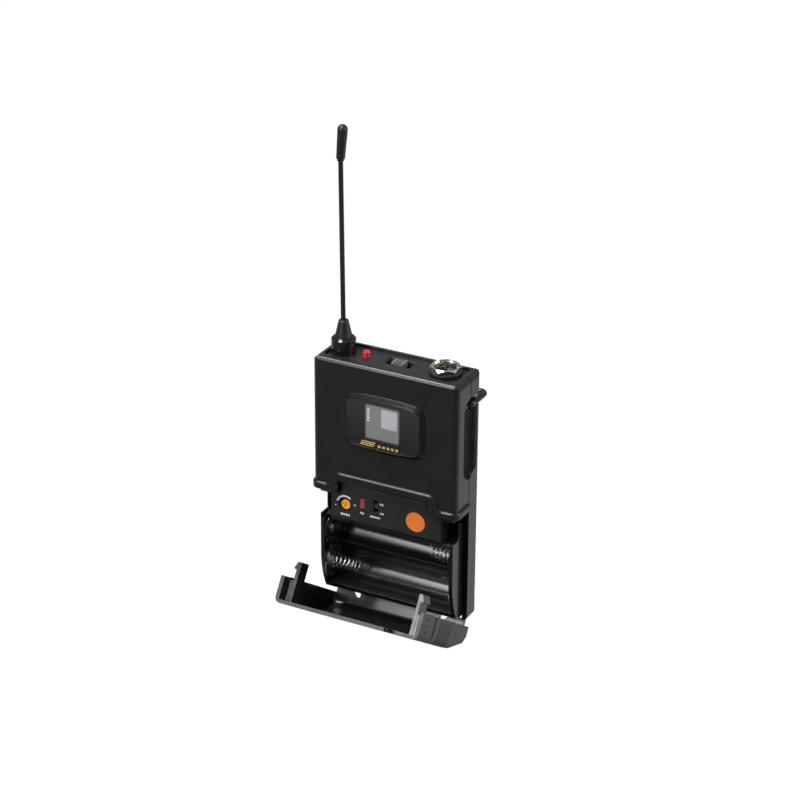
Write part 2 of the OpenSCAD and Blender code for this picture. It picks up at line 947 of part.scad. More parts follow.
module gain_rotor() {
    color([0.88, 0.62, 0.2])
        difference() {
            union() {
                rod_y(pot_x, 2, 3.3, pot_z, rotor_r);
                rod_y(pot_x, 3.2, 6, pot_z, 1);
            }
            for (a = [0, 90])
                translate([pot_x, 2, pot_z])
                    rotate([0, a + 20, 0])
                        cube([0.6, 1.2, 2.9], center = true);
        }
}

module level_switch_body() {
    color([0.12, 0.12, 0.12])
        difference() {
            box(level_x - 2.4, level_x + 2.4, 3.7, board_y, level_z - 4.4, level_z + 4.4);
            box(level_x - 0.9 - run_fit, level_x + 0.9 + run_fit, 3, 6.6, level_z - 2.7,
                level_z + 2.7);
        }
}

module level_slider() {
    color([0.06, 0.06, 0.06])
        difference() {
            box(level_x - 0.9, level_x + 0.9, 2, 6.5, level_z - knob_h / 2, level_z + knob_h / 2);
            for (i = [-1:1])
                translate([level_x, 2, level_z + i * 0.7])
                    cube([3, 0.4, 0.25], center = true);
        }
}

// ---------- display ----------

// Outline of the display pad shrunk by a margin, with bowed long edges
module pad_outline(margin) {
    w = pad_w / 2 - margin;
    h = pad_h / 2 - margin;
    r = max(pad_r - margin, 0.8);
    hull() {
        for (x = [-1, 1])
            for (z = [-1, 1])
                translate([x * (w - r), z * (h - pad_bow - r)])
                    circle(r, $fn = 32);
        for (i = [-2:2])
            for (z = [-1, 1])
                translate([i * w / 4, z * (h - r - pad_bow * i * i / 16)])
                    circle(r, $fn = 32);
    }
}

module display_bezel() {
    color([0.12, 0.12, 0.13])
        difference() {
            union() {
                hull() {
                    along_y(-0.2, 0)
                        translate([0, pad_z])
                            pad_outline(0);
                    along_y(-pad_out, -pad_out + 0.1)
                        translate([0, pad_z])
                            pad_outline(pad_slope);
                }
                box(-13.3, 13.3, -0.1, wall, pad_z - 9.3, pad_z + 9.3);
            }
            along_y(-pad_out - 1, window_t - pad_out)
                translate([0, pad_z])
                    pad_outline(pad_slope + pad_rim - 0.08);
            box(lcd_x - 7.9, lcd_x + 7.9, -3, 3, lcd_z - 7.8, lcd_z + 7.8);
            box(-11.6, 11.6, 0.4, 3, pad_z - 8.2, pad_z + 8.2);
        }
}

module display_window() {
    color([0.3, 0.31, 0.33])
        along_y(0.05 - pad_out, window_t - pad_out)
            translate([0, pad_z])
                pad_outline(pad_slope + pad_rim);
}

module lcd_glass() {
    color([0.55, 0.57, 0.58])
        box(lcd_x - lcd_w / 2, lcd_x + lcd_w / 2, -0.35, 0.65, lcd_z - lcd_h / 2, lcd_z + lcd_h / 2);
}

module lcd_frame() {
    color([0.7, 0.7, 0.72])
        difference() {
            box(-11.2, 11.2, 0.7, 3, pad_z - 7.8, pad_z + 7.8);
            box(-10.4, 10.4, 1.5, 4, pad_z - 7, pad_z + 7);
        }
}

module display_carrier() {
    color([0.85, 0.85, 0.83])
        difference() {
            box(-10.2, 10.2, 1.7, board_y, pad_z - 6.8, pad_z + 6.8);
            box(-8.8, 8.8, 3, board_y + 1, pad_z - 5.4, pad_z + 5.4);
        }
}

// ---------- board ----------

module main_board() {
    color([0.1, 0.35, 0.2])
        difference() {
            along_y(board_y, board_y + board_t)
                soft_rect(-board_x, board_z0, board_x, board_z1, [1, 1, 1, 1]);
            for (x = [-post_x, post_x])
                for (z = [post_low_z, post_high_z])
                    rod_y(x, board_y - 1, board_y + board_t + 1, z, screw_r + 0.15);
        }
}

module rf_shield() {
    color([0.72, 0.73, 0.75])
        difference() {
            box(-16, 16, board_y + board_t, 14.8, 67, 87);
            box(-15.6, 15.6, board_y, 14.4, 67.4, 86.6);
            for (i = [-2:2])
                for (k = [-1:1])
                    rod_y(i * 5.4, 14, 16, 77 + k * 5, 0.8);
        }
}

module board_chips() {
    color([0.09, 0.09, 0.1]) {
        box(-6, 2, board_y - 1.3, board_y, 63, 71);
        box(7, 12, board_y - 1, board_y, 64, 69);
        box(4, 16, board_y - 2.2, board_y, 41.5, 53);
        box(-17, -11, board_y - 1.1, board_y, 66, 72);
        rod_y(17, board_y - 4, board_y, 71, 2.1);
    }
}

module board_screws() {
    color([0.75, 0.75, 0.77])
        for (x = [-post_x, post_x])
            for (z = [post_low_z, post_high_z])
                screw(x, board_y - 1.2, z, 1, 1.2, 6);
}

module case_screws() {
    color([0.5, 0.5, 0.52])
        for (s = screw_spots)
            screw(s[0], 19, s[1], -1, 1.4, 10);
}

// ---------- top features ----------

module power_switch_body() {
    color([0.1, 0.1, 0.1])
        difference() {
            box(slot_x0 - 0.8, slot_x1 + 0.8, slot_y0 - 0.7, slot_y1 + 0.7, panel_z - 6, panel_z);
            box(slot_x0 + 0.1, slot_x1 - 0.1, slot_y0 + 0.3 - run_fit, slot_y1 - 0.3 + run_fit,
                panel_z - 2.4, panel_z + 1);
        }
}

module power_slider() {
    color([0.4, 0.4, 0.41])
        difference() {
            box(slider_x - slider_w / 2, slider_x + slider_w / 2, slot_y0 + 0.3, slot_y1 - 0.3,
                panel_z - 2.3, top_z + slider_out);
            for (i = [-1:1])
                box(slider_x - 0.25 + i * 1.1, slider_x + 0.25 + i * 1.1, slot_y0, slot_y1,
                    top_z + slider_out - 0.45, top_z + slider_out + 1);
        }
}

module status_led() {
    color([0.85, 0.12, 0.15])
        union() {
            rod_z(led_x, led_y, panel_z - 3, top_z + 1.7, led_r);
            rod_z(led_x, led_y, top_z, top_z + 0.6, led_r + 0.15);
            translate([led_x, led_y, top_z + 1.7])
                cylinder(r1 = led_r, r2 = led_r - 0.4, h = 0.6);
        }
}

module mic_jack_shell() {
    outer_r = jack_r + jack_wall;
    color([0.2, 0.2, 0.21])
        difference() {
            union() {
                rod_z(jack_x, jack_y, jack_low_z, top_z + gasket_h + nut_h - 0.6, outer_r);
                rod_z(jack_x, jack_y, panel_z - 1.7, panel_z, outer_r + 0.25);
            }
            rod_z(jack_x, jack_y, jack_low_z - 1, body_h + 9, jack_r - guide_step);
            rod_z(jack_x, jack_y, top_z - guide_depth, body_h + 9, jack_r);
        }
}

module mic_jack_insulator() {
    color([0.12, 0.12, 0.12])
        difference() {
            rod_z(jack_x, jack_y, jack_low_z + 0.4, jack_low_z + 5, jack_r - guide_step - 0.02);
            for (a = [45:90:315])
                rod_z(jack_x + 2.3 * cos(a), jack_y + 2.3 * sin(a), jack_low_z - 1, body_h, 0.52);
        }
}

module mic_jack_pins() {
    color([0.85, 0.75, 0.45])
        for (a = [45:90:315])
            translate([jack_x + 2.3 * cos(a), jack_y + 2.3 * sin(a), 0]) {
                rod_z(0, 0, jack_low_z - 1.6, top_z - 1.6, 0.5);
                translate([0, 0, top_z - 1.6])
                    sphere(0.5);
            }
}

module mic_jack_nut() {
    z0 = top_z + gasket_h;
    color([0.85, 0.86, 0.88])
        difference() {
            intersection() {
                rod_z_hex(jack_x, jack_y, z0, z0 + nut_h);
                translate([jack_x, jack_y, z0])
                    rotate_extrude()
                        polygon([[0, 0], [nut_r - 0.1, 0], [nut_r, 0.2], [nut_r, nut_h - 0.9],
                            [nut_r - 1, nut_h], [0, nut_h]]);
            }
            rod_z(jack_x, jack_y, z0 - 1, z0 + nut_h + 1, jack_r + jack_wall + 0.05);
        }
}

module rod_z_hex(x, y, z0, z1) {
    translate([x, y, z0])
        rotate([0, 0, 30])
            cylinder(r = nut_r, h = z1 - z0, $fn = 6);
}

module mic_jack_gasket() {
    color([0.07, 0.07, 0.07])
        difference() {
            rod_z(jack_x, jack_y, top_z, top_z + gasket_h, nut_r);
            rod_z(jack_x, jack_y, top_z - 1, top_z + gasket_h + 1, jack_r + jack_wall + 0.05);
        }
}

module jack_wires() {
    color([0.75, 0.75, 0.2])
        for (i = [-1, 1]) {
            x = jack_x + i * 2.3 * cos(45);
            y = jack_y + 2.3 * sin(45);
            z = 93.9 - i * 0.6;
            end_x = 14.6 + i * 1.5;
            wire([[x, y, jack_low_z - 1.6], [x, y, z], [end_x, y, z], [end_x, y, 89],
                [end_x, board_y + board_t, 89]], [0, 0.9, 0.9, 0.9, 0], 0.4);
        }
}

module antenna_base() {
    color([0.8, 0.78, 0.6])
        union() {
            rod_z(antenna_x, antenna_y, panel_z - 5, top_z + 3.5, 2.5);
            rod_z(antenna_x, antenna_y, panel_z - 1.4, panel_z, 4);
            rod_z(antenna_x, antenna_y, panel_z - 7.5, panel_z - 5, 0.8);
        }
}

module antenna_collar() {
    color([0.05, 0.05, 0.05])
        difference() {
            translate([antenna_x, antenna_y, top_z])
                rotate_extrude()
                    polygon([[0, 0], [collar_r + 0.15, 0], [collar_r, collar_h - collar_edge],
                        [collar_r - collar_edge, collar_h], [0, collar_h]]);
            rod_z(antenna_x, antenna_y, top_z - 1, top_z + 3.5, 2.53);
            rod_z(antenna_x, antenna_y, top_z + 3.4, body_h + 20, 2.2);
        }
}

module antenna_boot() {
    color([0.16, 0.16, 0.17])
        difference() {
            translate([antenna_x, antenna_y, 0])
                union() {
                    translate([0, 0, top_z + collar_h])
                        cylinder(r1 = boot_r, r2 = 2.05, h = boot_h - 0.4);
                    rod_z(0, 0, top_z + 4, top_z + collar_h + 0.5, 2.18);
                    translate([0, 0, top_z + collar_h + boot_h - 0.4])
                        cylinder(r1 = 2.05, r2 = 1.7, h = 0.4);
                }
            antenna_pose()
                rod_z(0, 0, -5, 60, whip_d / 2);
        }
}

// Carries shapes up the leaning antenna, with z = 0 at the top of the boot
module antenna_pose() {
    translate([antenna_x - 0.15, antenna_y, top_z + collar_h + boot_h])
        rotate([0, -whip_lean, 0])
            children();
}

module antenna_whip() {
    color([0.09, 0.09, 0.09])
        antenna_pose()
            rod_z(0, 0, -4.5, whip_len, whip_d / 2 - 0.02);
}

module antenna_tip() {
    color([0.12, 0.12, 0.12])
        antenna_pose()
            translate([0, 0, whip_len - 1.2])
                difference() {
                    union() {
                        rotate([0, tip_lean + whip_lean, 0]) {
                            cylinder(r1 = tip_r, r2 = tip_r + 0.3, h = tip_len - 2);
                            translate([0, 0, tip_len - 2])
                                sphere(tip_r + 0.3);
                        }
                        cylinder(r = tip_r - 0.4, h = 2, center = true);
                    }
                    rod_z(0, 0, -5, 1.2, whip_d / 2);
                }
}

// ---------- belt clip ----------

module belt_clip() {
    low_z = clip_pivot_z - clip_len;
    x = clip_arm_x;
    y = clip_pivot_y;
    z = clip_pivot_z;
    color([0.06, 0.06, 0.06])
        wire([[clip_stub_x, y, z], [x, y, z], [x, clip_back_y, z], [clip_leg_x, clip_back_y, z],
            [clip_leg_x, clip_back_y, low_z], [-clip_leg_x, clip_back_y, low_z],
            [-clip_leg_x, clip_back_y, z], [-x, clip_back_y, z], [-x, y, z],
            [-clip_stub_x, y, z]],
            [0, clip_bend, clip_bend, 3.4, 9, 9, 3.4, clip_bend, clip_bend, 0], clip_r);
}

module clip_bushes() {
    color([0.8, 0.78, 0.7])
        both_sides()
            difference() {
                rod_x(backing_x, channel_x, clip_pivot_y, clip_pivot_z, bush_r - 0.02);
                rod_x(backing_x - 1, channel_x + 1, clip_pivot_y, clip_pivot_z, clip_r + run_fit);
            }
}

front_shell();
rear_shell();
top_panel();
battery_tray();
display_bezel();
display_window();
lcd_glass();
lcd_frame();
display_carrier();
control_panel();
channel_marker();
ir_window();
ir_receiver();
gain_pot_body();
gain_rotor();
level_switch_body();
level_slider();
power_switch_body();
power_slider();
status_led();
main_board();
rf_shield();
board_chips();
board_screws();
case_screws();
mic_jack_shell();
mic_jack_insulator();
mic_jack_pins();
mic_jack_nut();
mic_jack_gasket();
jack_wires();
antenna_base();
antenna_collar();
antenna_boot();
antenna_whip();
antenna_tip();
bridge_contact();
positive_contact();
negative_contact();
upper_spring();
lower_spring();
battery_leads();
battery_door();
door_hinge_pins();
belt_clip();
clip_bushes();
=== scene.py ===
"""Looks for the wireless bodypack transmitter: materials, small details, light and camera.

The scene is in metres, in the CAD frame: X across, Y from the front face to the back, Z up.
The small details are drawn in millimetres and scaled where they are placed.
"""

import math

import bmesh
import bpy
from mathutils import Matrix, Vector


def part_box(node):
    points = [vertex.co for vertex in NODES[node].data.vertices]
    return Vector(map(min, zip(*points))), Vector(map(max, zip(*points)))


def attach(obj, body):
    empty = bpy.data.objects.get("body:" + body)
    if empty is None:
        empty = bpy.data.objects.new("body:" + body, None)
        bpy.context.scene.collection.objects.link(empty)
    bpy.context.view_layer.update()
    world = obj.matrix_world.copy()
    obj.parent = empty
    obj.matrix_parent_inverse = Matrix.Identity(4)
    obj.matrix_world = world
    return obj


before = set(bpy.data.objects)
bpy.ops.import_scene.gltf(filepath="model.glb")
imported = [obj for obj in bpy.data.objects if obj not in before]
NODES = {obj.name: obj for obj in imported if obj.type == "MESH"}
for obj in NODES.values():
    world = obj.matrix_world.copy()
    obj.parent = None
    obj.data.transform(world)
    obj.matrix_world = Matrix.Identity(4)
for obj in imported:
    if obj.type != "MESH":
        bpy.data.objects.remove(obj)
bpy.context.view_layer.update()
MM = 0.001


# ---------- node trees ----------

class Nodes:
    """Adds nodes to one tree. A value is a plain number or another node's output."""

    def __init__(self, tree):
        self.tree = tree

    def add(self, kind, **props):
        node = self.tree.nodes.new(kind)
        for key, value in props.items():
            setattr(node, key, value)
        return node

    def link(self, a, b):
        self.tree.links.new(a, b)

    def feed(self, value, socket):
        if isinstance(value, (int, float)):
            socket.default_value = value
        else:
            self.link(value, socket)

    def axes(self, vector):
        """The X, Y and Z outputs of a vector."""
        split = self.add("ShaderNodeSeparateXYZ")
        self.link(vector, split.inputs[0])
        return split.outputs

    def math(self, kind, a, b=None):
        node = self.add("ShaderNodeMath", operation=kind)
        self.feed(a, node.inputs[0])
        if b is not None:
            self.feed(b, node.inputs[1])
        return node.outputs[0]

    def all_of(self, masks):
        """A mask that is 1 only where every given mask is 1."""
        result = masks[0]
        for mask in masks[1:]:
            result = self.math("MULTIPLY", result, mask)
        return result

    def remap(self, value, low, high, start=0.3, end=0.7):
        """Takes start..end to low..high; the defaults suit the middle of a noise."""
        node = self.add("ShaderNodeMapRange")
        node.inputs["From Min"].default_value = start
        node.inputs["From Max"].default_value = end
        node.inputs["To Min"].default_value = low
        node.inputs["To Max"].default_value = high
        self.link(value, node.inputs["Value"])
        return node.outputs["Result"]

    def mix_value(self, factor, a, b):
        node = self.add("ShaderNodeMix", data_type="FLOAT")
        self.link(factor, node.inputs["Factor"])
        self.feed(a, node.inputs["A"])
        self.feed(b, node.inputs["B"])
        return node.outputs["Result"]

    def mix_color(self, factor, a, b):
        node = self.add("ShaderNodeMix", data_type="RGBA")
        node.inputs["A"].default_value = tuple(a) + (1.0,)
        node.inputs["B"].default_value = tuple(b) + (1.0,)
        self.link(factor, node.inputs["Factor"])
        return node.outputs["Result"]


class Look(Nodes):
    """A material built step by step, with object coordinates in metres."""

    def __init__(self, name, base, rough, spec=0.5, metal=0.0):
        self.mat = bpy.data.materials.new(name)
        self.mat.use_nodes = True
        super().__init__(self.mat.node_tree)
        self.tree.nodes.clear()
        self.out = self.add("ShaderNodeOutputMaterial")
        self.bsdf = self.add("ShaderNodeBsdfPrincipled")
        self.link(self.bsdf.outputs[0], self.out.inputs["Surface"])
        self.coord = self.add("ShaderNodeTexCoord").outputs["Object"]
        self.base = tuple(base)
        self.rough = rough
        self.set("Base Color", self.base + (1.0,))
        self.set("Roughness", rough)
        self.set("Specular IOR Level", spec)
        self.set("Metallic", metal)

    def set(self, socket, value):
        self.bsdf.inputs[socket].default_value = value

    def drive(self, socket, value):
        self.link(value, self.bsdf.inputs[socket])

    def noise(self, scale, detail=3.0, stretch=None):
        node = self.add("ShaderNodeTexNoise")
        node.inputs["Scale"].default_value = scale
        node.inputs["Detail"].default_value = detail
        source = self.coord
        if stretch:
            mapping = self.add("ShaderNodeMapping")
            mapping.inputs["Scale"].default_value = stretch
            self.link(source, mapping.inputs["Vector"])
            source = mapping.outputs[0]
        self.link(source, node.inputs["Vector"])
        return node.outputs["Fac"]

    def show_mix(self, factor, first, second):
        """Shows a blend of two shaders in place of the plain one."""
        node = self.add("ShaderNodeMixShader")
        self.feed(factor, node.inputs["Fac"])
        self.link(first, node.inputs[1])
        self.link(second, node.inputs[2])
        self.link(node.outputs[0], self.out.inputs["Surface"])

    def vary_rough(self, scale, spread):
        self.drive("Roughness", self.remap(self.noise(scale), self.rough - spread,
                                           self.rough + spread))
        return self

    def vary_color(self, scale, other):
        patches = self.remap(self.noise(scale, 4.0), 0.0, 1.0)
        self.drive("Base Color", self.mix_color(patches, self.base, other))
        return self

    def soft_edges(self, radius):
        """Rounds the look of sharp edges, as a mould does. Comes before any grain."""
        node = self.add("ShaderNodeBevel", samples=8)
        node.inputs["Radius"].default_value = radius
        self.normal = node.outputs[0]
        self.drive("Normal", self.normal)
        return self

    def grain(self, scale, height, stretch=None):
        """Fine surface grain on top of the soft edges."""
        bump = self.add("ShaderNodeBump")
        bump.inputs["Strength"].default_value = 1.0
        bump.inputs["Distance"].default_value = height
        self.link(self.noise(scale, 2.0, stretch), bump.inputs["Height"])
        self.link(self.normal, bump.inputs["Normal"])
        self.normal = bump.outputs[0]
        self.drive("Normal", self.normal)
        return self


# ---------- materials ----------

def plastic(name, base, rough, grain_scale=5200.0, grain_height=6e-6, edge=0.00018, spec=0.5):
    """Moulded plastic, with slightly uneven colour and polish."""
    look = Look(name, base, rough, spec).soft_edges(edge)
    look.vary_rough(260.0, 0.015)
    look.vary_color(90.0, [c * 1.25 + 0.002 for c in base])
    return look.grain(grain_scale, grain_height)


def metal(name, base, rough, brush=None):
    """Bare metal; brush scales its grain along each axis."""
    look = Look(name, base, rough, metal=1.0).soft_edges(0.0001)
    look.vary_rough(900.0, 0.06)
    look.vary_color(500.0, [c * 0.8 for c in base])
    return look.grain(3000.0, 4e-6, brush)


# Painted shade: the case loses its shine where it lies deeper than its side faces, in
# millimetres;
# each limit of the zone has its axis, the place where the painted shade begins and the place
# where it is full
SIDE_DEEP, SIDE_FACE = 32.1, 32.46
SIDE_SHADE_ZONE = (("Y", 6.0, 7.5), ("Y", 17.5, 16.0), ("Z", 106.5, 106.0))


def paint_side_shade(look):
    """Painted shade: takes the shine off the side scoops and the seam, which lie below the side
    faces.
    """
    place = look.axes(look.coord)
    across = look.math("ABSOLUTE", place["X"])
    masks = [look.remap(across, 1.0, 0.0, SIDE_DEEP * MM, SIDE_FACE * MM)]
    masks += [look.remap(place[axis], 0.0, 1.0, start * MM, end * MM)
              for axis, start, end in SIDE_SHADE_ZONE]
    # painted shade: the specular level drops in the scoops and the seam
    look.drive("Specular IOR Level", look.remap(look.all_of(masks), 0.5, 0.04, 0.0, 1.0))


# Door material: satin outside, polished inside, told apart in the closed door's own axes
HINGE = Vector((0.0, 18.2, 1.3)) * MM
DOOR_OPEN = math.radians(56.0)
DOOR_HALF_WIDTH = 30.9 * MM
DOOR_SKIN = 1.45 * MM
DOOR_ROUGH_OUT, DOOR_ROUGH_IN = 0.36, 0.22
# Painted shade in the grip grooves of the closed door, in millimetres; X is taken without its
# sign
GROOVE_SHADE_ZONE = (("X", "LESS_THAN", 32.25), ("Y", "GREATER_THAN", 1.6), ("Z", "GREATER_THAN", 17.0),
               ("Z", "LESS_THAN", 48.0), ("X", "GREATER_THAN", 31.5))


def finish_door():
    look = Look("door_satin", (0.009, 0.009, 0.0096), DOOR_ROUGH_OUT).soft_edges(0.0002)
    closed = look.add("ShaderNodeMapping")
    closed.inputs["Rotation"].default_value = (-DOOR_OPEN, 0.0, 0.0)
    closed.inputs["Location"].default_value = HINGE - Matrix.Rotation(-DOOR_OPEN, 3, "X") @ HINGE
    look.link(look.coord, closed.inputs["Vector"])
    split = look.axes(closed.outputs[0])
    place = {"X": look.math("ABSOLUTE", split["X"]), "Y": split["Y"], "Z": split["Z"]}
    inside = look.all_of([look.math("LESS_THAN", place["X"], DOOR_HALF_WIDTH),
                          look.math("GREATER_THAN", place["Y"], DOOR_SKIN)])
    rough = look.remap(inside, DOOR_ROUGH_OUT, DOOR_ROUGH_IN, 0.0, 1.0)
    ripple = look.remap(look.noise(260.0), -0.04, 0.04)
    look.drive("Roughness", look.math("ADD", rough, ripple))
    groove_shade = look.all_of([look.math(test, place[axis], limit * MM)
                          for axis, test, limit in GROOVE_SHADE_ZONE])
    # painted shade: the grip grooves lose their shine
    look.drive("Specular IOR Level", look.remap(groove_shade, 0.5, 0.02, 0.0, 1.0))
    look.vary_color(90.0, (0.013, 0.013, 0.014))
    return look.grain(5200.0, 1.5e-6)


def finish_window():
    """Smoked window: partly see-through, greyer towards its top."""
    look = Look("window_smoke", (0.05, 0.052, 0.058), 0.1).soft_edges(0.0002)
    low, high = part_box("display_window")
    height = look.remap(look.axes(look.coord)["Z"], 0.0, 1.0, low.z, high.z)
    look.drive("Base Color", look.mix_color(height, (0.03, 0.031, 0.034), (0.075, 0.077, 0.083)))
    look.vary_rough(200.0, 0.02).grain(300.0, 2e-6)
    clear = look.add("ShaderNodeBsdfTransparent")
    look.show_mix(0.6, look.bsdf.outputs[0], clear.outputs[0])
    return look


def finish_lcd_painted_glow(name, base, glow):
    """Display grey that gives off a little painted glow, which brightens it."""
    look = plastic(name, base, 0.3, 900.0, 1e-6, 0.00003)
    # painted glow: emission stands in for light the display does not give off
    look.set("Emission Color", (0.93, 0.97, 1.0, 1.0))
    look.set("Emission Strength", glow)
    return look


# Each plastic has a name, a colour and a roughness, then a grain scale, a grain height and an
# edge radius in metres where they differ from the usual ones
shell = plastic("shell_satin", (0.0066, 0.0066, 0.0071), 0.3, grain_height=1.0e-6, edge=0.0002)
paint_side_shade(shell)
tray = plastic("tray_gloss", (0.006, 0.006, 0.007), 0.2, 900.0, 2e-6)
top_grey = plastic("top_satin", (0.011, 0.011, 0.012), 0.42, 3600.0, 1.4e-5)
label = plastic("label_grain", (0.013, 0.013, 0.0145), 0.48, 2400.0, 4e-5, 0.00008)
bezel = plastic("bezel_gloss", (0.006, 0.006, 0.0065), 0.2, 5200.0, 8e-7, 0.0002, spec=0.4)
switch_black = plastic("switch_black", (0.008, 0.008, 0.008), 0.35)
slider_grey = plastic("slider_grey", (0.1, 0.1, 0.102), 0.45)
white_part = plastic("frame_white", (0.72, 0.72, 0.69), 0.5)
rubber = plastic("antenna_rubber", (0.006, 0.006, 0.0065), 0.45, 2400.0, 1.2e-5)
collar_gloss = plastic("collar_gloss", (0.005, 0.005, 0.005), 0.1, 700.0, 1e-6)
gasket = plastic("gasket_rubber", (0.005, 0.005, 0.005), 0.45)
orange = plastic("marker_orange", (0.68, 0.16, 0.027), 0.5, 2600.0, 2e-5, 0.00005)
amber = plastic("rotor_amber", (0.76, 0.36, 0.045), 0.32, edge=0.00012)
ir_red = plastic("ir_red", (0.26, 0.05, 0.055), 0.18, 1200.0, 2e-6)
led = plastic("led_red", (0.4, 0.01, 0.018), 0.12, 900.0, 1e-6)
board_green = plastic("board_green", (0.02, 0.13, 0.05), 0.3)
chip = plastic("chip_black", (0.02, 0.02, 0.02), 0.5)
red_wire = plastic("lead_red", (0.45, 0.02, 0.02), 0.4)
yellow_wire = plastic("lead_yellow", (0.55, 0.45, 0.05), 0.4)
bush = plastic("bush_natural", (0.6, 0.56, 0.45), 0.5)
clip_black = plastic("clip_coating", (0.007, 0.007, 0.007), 0.18, 700.0, 2e-6)
print_white = plastic("print_white", (0.62, 0.62, 0.62), 0.5, 3000.0, 1e-6, 0.00002)
print_gold = plastic("print_gold", (0.5, 0.34, 0.1), 0.4, 3000.0, 1e-6, 0.00002)
print_dark = plastic("print_dark", (0.003, 0.003, 0.003), 0.4, 3000.0, 1e-6, 0.00002)
foil = plastic("rating_foil", (0.16, 0.16, 0.165), 0.4, 2600.0, 4e-6, 0.00005)
chrome = metal("nut_chrome", (0.95, 0.95, 0.96), 0.2)
nickel = metal("contact_nickel", (0.95, 0.94, 0.9), 0.24)
steel = metal("screw_steel", (0.5, 0.5, 0.52), 0.3, (1.0, 1.0, 8.0))
tin = metal("shield_tin", (0.62, 0.63, 0.65), 0.35, (1.0, 1.0, 6.0))
gold = metal("pin_gold", (0.83, 0.62, 0.25), 0.2)
socket_nickel = metal("socket_nickel", (0.78, 0.77, 0.75), 0.22)
door = finish_door()
window = finish_window()
# painted glow: the display glass, field and dashes give off light so that they look brighter
lcd = finish_lcd_painted_glow("lcd_glass", (0.3, 0.31, 0.32), 0.34)
lcd_painted_bright = finish_lcd_painted_glow("lcd_painted_glow", (0.5, 0.5, 0.5), 0.85)
lcd_mark_painted_glow = finish_lcd_painted_glow("lcd_mark_painted_glow", (0.8, 0.8, 0.8), 1.8)

PAINT = {
    shell: ["front_shell", "rear_shell"],
    bezel: ["display_bezel"],
    door: ["battery_door"],
    tray: ["battery_tray"],
    top_grey: ["top_panel"],
    label: ["control_panel"],
    window: ["display_window"],
    lcd: ["lcd_glass"],
    tin: ["lcd_frame", "rf_shield"],
    white_part: ["display_carrier"],
    orange: ["channel_marker"],
    amber: ["gain_rotor"],
    ir_red: ["ir_window"],
    chip: ["ir_receiver", "board_chips"],
    switch_black: ["gain_pot_body", "level_switch_body", "level_slider", "power_switch_body",
                   "mic_jack_insulator"],
    slider_grey: ["power_slider"],
    led: ["status_led"],
    board_green: ["main_board"],
    steel: ["board_screws", "case_screws", "door_hinge_pins"],
    socket_nickel: ["mic_jack_shell"],
    gold: ["mic_jack_pins", "antenna_base"],
    chrome: ["mic_jack_nut"],
    gasket: ["mic_jack_gasket"],
    yellow_wire: ["jack_wires"],
    red_wire: ["battery_leads"],
    collar_gloss: ["antenna_collar"],
    rubber: ["antenna_boot", "antenna_whip", "antenna_tip"],
    nickel: ["bridge_contact", "positive_contact", "negative_contact", "upper_spring",
             "lower_spring"],
    clip_black: ["belt_clip"],
    bush: ["clip_bushes"],
}
for look, names in PAINT.items():
    for name in names:
        NODES[name].data.materials.clear()
        NODES[name].data.materials.append(look.mat)


# ---------- small printed and pressed details, in millimetres ----------

CASE = "case_body"
RIGHT, BACK, UP = Vector((1, 0, 0)), Vector((0, 1, 0)), Vector((0, 0, 1))

# Bottom and top of a thin plate above its face; the small gap keeps the surfaces apart
FILM = (0.004, 0.02)
PRINT = (0.004, 0.03)
RIDGE = (0.004, 0.16)
PLATE = (0.004, 0.12)
PLATE_PRINT = (0.122, 0.15)


class Box:
    """The box round a CAD part."""

    def __init__(self, name):
        low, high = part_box(name)
        self.left, self.front, self.bottom = (v / MM for v in low)
        self.right, self.back, self.top = (v / MM for v in high)
        self.middle = (low + high) / 2 / MM


class Face:
    """A flat place for details: a point, the two directions along it, and the way out."""

    def __init__(self, origin, across, up, out):
        self.origin = Vector(origin)
        self.across = across
        self.up = up
        self.out = out

    def at(self, u, v, w):
        return (self.origin + self.across * u + self.up * v + self.out * w) * MM


def front_of(box):
    return Face((0.0, box.front, 0.0), RIGHT, UP, -BACK)


def round_points(cx, cz, radius, degrees):
    """Points at the given angles round a centre."""
    angles = [math.radians(d) for d in degrees]
    return [(cx + radius * math.cos(a), cz + radius * math.sin(a)) for a in angles]


def soft_box(x0, z0, x1, z1, r):
    """Outline of a rectangle with round corners."""
    steps = 4
    r = min(r, (x1 - x0) / 2, (z1 - z0) / 2)
    corners = ((x1 - r, z0 + r, -90), (x1 - r, z1 - r, 0),
               (x0 + r, z1 - r, 90), (x0 + r, z0 + r, 180))
    points = []
    for cx, cz, start in corners:
        points += round_points(cx, cz, r, [start + 90 / steps * i for i in range(steps + 1)])
    return points


def arc_band(cx, cz, radius, width, start, stop):
    """Outline of a curved bar."""
    steps = 20
    degrees = [start + (stop - start) * i / steps for i in range(steps + 1)]
    return (round_points(cx, cz, radius + width / 2, degrees)
            + round_points(cx, cz, radius - width / 2, reversed(degrees)))


def bars(x, z, widths, height, gap):
    """A row of small bars from x, each with its own width."""
    row = []
    for width in widths:
        row.append(soft_box(x, z, x + width, z + height, 0.12))
        x += width + gap
    return row


def inlay(name, face, outlines, levels, look):
    """One piece made of thin plates standing between two levels above a face."""
    low, high = levels
    bm = bmesh.new()
    for outline in outlines:
        floor = [bm.verts.new(face.at(u, v, low)) for u, v in outline]
        roof = [bm.verts.new(face.at(u, v, high)) for u, v in outline]
        bm.faces.new(list(reversed(floor)))
        bm.faces.new(roof)
        for i in range(len(outline)):
            k = (i + 1) % len(outline)
            bm.faces.new((floor[i], floor[k], roof[k], roof[i]))
    bmesh.ops.recalc_face_normals(bm, faces=bm.faces)
    mesh = bpy.data.meshes.new(name)
    bm.to_mesh(mesh)
    bm.free()
    mesh.materials.append(look.mat)
    piece = bpy.data.objects.new(name, mesh)
    bpy.context.scene.collection.objects.link(piece)
    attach(piece, CASE)


